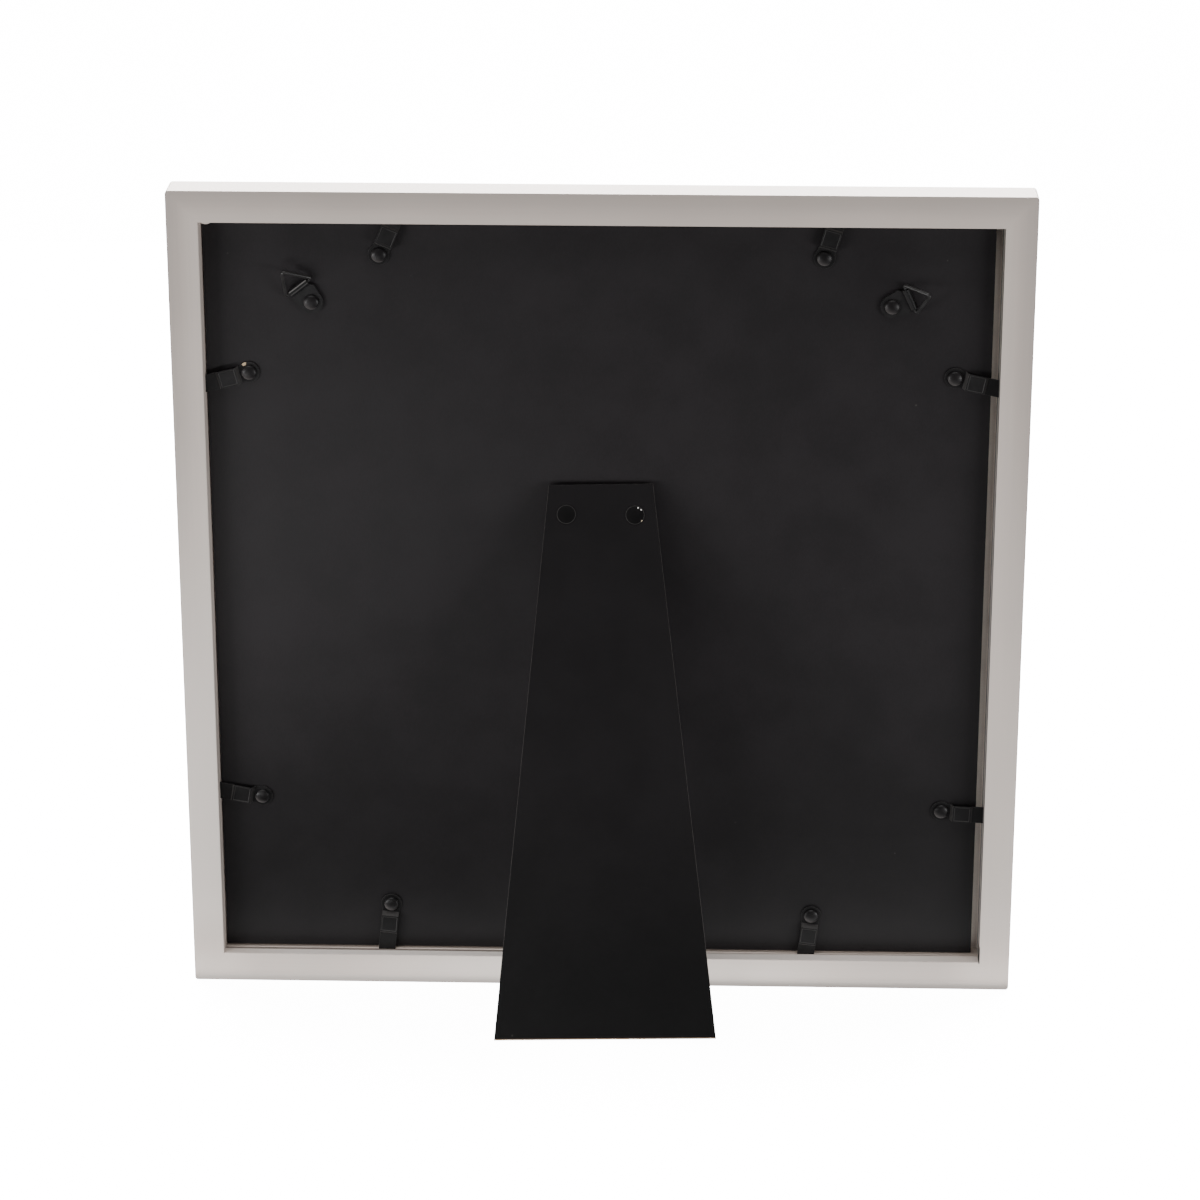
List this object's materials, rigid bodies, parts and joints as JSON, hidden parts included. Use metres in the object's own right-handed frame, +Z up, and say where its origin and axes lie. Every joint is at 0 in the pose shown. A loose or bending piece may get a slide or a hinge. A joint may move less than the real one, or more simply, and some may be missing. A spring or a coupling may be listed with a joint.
{
  "type": "collage photo frame",
  "caption": "Square photo frame with a windowed mat behind glass, turn clips holding the back, hanging rings, and a hinged easel leg.",
  "frame": {"origin": "on the table, under the middle of the whole", "axes": "+Z up, +Y out of the back toward the easel leg, +X to the left as seen from behind"},
  "size_m": [0.3302, 0.1114, 0.3253],
  "materials": {
    "painted_wood": "satin",
    "clear_glass": "gloss",
    "mat_paper": "matte",
    "print_paper": "satin",
    "black_paper_board": "matte",
    "black_steel": "satin"
  },
  "bodies": {
    "frame": {"bottom_rail": "painted_wood", "right_rail": "painted_wood", "top_rail": "painted_wood", "left_rail": "painted_wood", "glass_pane": "clear_glass", "photo_print_upper_left": "print_paper", "photo_print_upper_right": "print_paper", "photo_print_lower_right": "print_paper", "photo_print_lower_left": "print_paper", "mat_board": "mat_paper", "backing_board": "black_paper_board", "clip_rivet_top_left": "black_steel", "clip_rivet_top_right": "black_steel", "clip_rivet_upper_left": "black_steel", "clip_rivet_upper_right": "black_steel", "clip_rivet_lower_left": "black_steel", "clip_rivet_lower_right": "black_steel", "clip_rivet_bottom_left": "black_steel", "clip_rivet_bottom_right": "black_steel", "hanger_rivet_left": "black_steel", "hanger_rivet_right": "black_steel", "hinge_board_leaf": "black_steel", "hinge_pin": "black_steel", "hinge_rivet_right": "black_steel", "hinge_rivet_left": "black_steel"},
    "leg": {"easel_leg": "black_paper_board", "hinge_leg_leaf": "black_steel", "leg_rivet_right": "black_steel", "leg_rivet_left": "black_steel"},
    "clip_top_left": {"clip_top_left": "black_steel"},
    "clip_top_right": {"clip_top_right": "black_steel"},
    "clip_upper_left": {"clip_upper_left": "black_steel"},
    "clip_upper_right": {"clip_upper_right": "black_steel"},
    "clip_lower_left": {"clip_lower_left": "black_steel"},
    "clip_lower_right": {"clip_lower_right": "black_steel"},
    "clip_bottom_left": {"clip_bottom_left": "black_steel"},
    "clip_bottom_right": {"clip_bottom_right": "black_steel"},
    "strap_left": {"hanger_strap_left": "black_steel"},
    "ring_left": {"hanger_ring_left": "black_steel"},
    "strap_right": {"hanger_strap_right": "black_steel"},
    "ring_right": {"hanger_ring_right": "black_steel"}
  },
  "joints": [
    {"name": "leg_hinge", "type": "hinge", "parent": "frame", "child": "leg", "pos_m": [0, -0.00222, 0.20286], "axis": [-1, 0, 0], "range_deg": [0, 25.7]},
    {"name": "clip_top_left_turn", "type": "hinge", "parent": "frame", "child": "clip_top_left", "pos_m": [0.085, 0.01757, 0.29819], "axis": [0, 0.9759, -0.2184], "continuous": true},
    {"name": "clip_top_right_turn", "type": "hinge", "parent": "frame", "child": "clip_top_right", "pos_m": [-0.085, 0.01757, 0.29819], "axis": [0, 0.9759, -0.2184], "continuous": true},
    {"name": "clip_upper_left_turn", "type": "hinge", "parent": "frame", "child": "clip_upper_left", "pos_m": [0.1361, 0.00724, 0.25203], "axis": [0, 0.9759, -0.2184], "continuous": true},
    {"name": "clip_upper_right_turn", "type": "hinge", "parent": "frame", "child": "clip_upper_right", "pos_m": [-0.1361, 0.00724, 0.25203], "axis": [0, 0.9759, -0.2184], "continuous": true},
    {"name": "clip_lower_left_turn", "type": "hinge", "parent": "frame", "child": "clip_lower_left", "pos_m": [0.1361, -0.0316, 0.07842], "axis": [0, 0.9759, -0.2184], "continuous": true},
    {"name": "clip_lower_right_turn", "type": "hinge", "parent": "frame", "child": "clip_lower_right", "pos_m": [-0.1361, -0.03232, 0.0752], "axis": [0, 0.9759, -0.2184], "continuous": true},
    {"name": "clip_bottom_left_turn", "type": "hinge", "parent": "frame", "child": "clip_bottom_left", "pos_m": [0.085, -0.04185, 0.03266], "axis": [0, 0.9759, -0.2184], "continuous": true},
    {"name": "clip_bottom_right_turn", "type": "hinge", "parent": "frame", "child": "clip_bottom_right", "pos_m": [-0.085, -0.04254, 0.02953], "axis": [0, 0.9759, -0.2184], "continuous": true},
    {"name": "strap_left_turn", "type": "hinge", "parent": "frame", "child": "strap_left", "pos_m": [0.1112, 0.01347, 0.27984], "axis": [0, 0.9759, -0.2184], "range_deg": [-60, 60]},
    {"name": "ring_left_lift", "type": "hinge", "parent": "strap_left", "child": "ring_left", "pos_m": [0.11582, 0.01637, 0.28525], "axis": [-0.788, 0.1344, 0.6008], "range_deg": [-29, 123]},
    {"name": "strap_right_turn", "type": "hinge", "parent": "frame", "child": "strap_right", "pos_m": [-0.1112, 0.01347, 0.27984], "axis": [0, 0.9759, -0.2184], "range_deg": [-60, 60]},
    {"name": "ring_right_lift", "type": "hinge", "parent": "strap_right", "child": "ring_right", "pos_m": [-0.11797, 0.01578, 0.28264], "axis": [-0.4305, -0.1971, -0.8808], "range_deg": [-42, 110]}
  ]
}
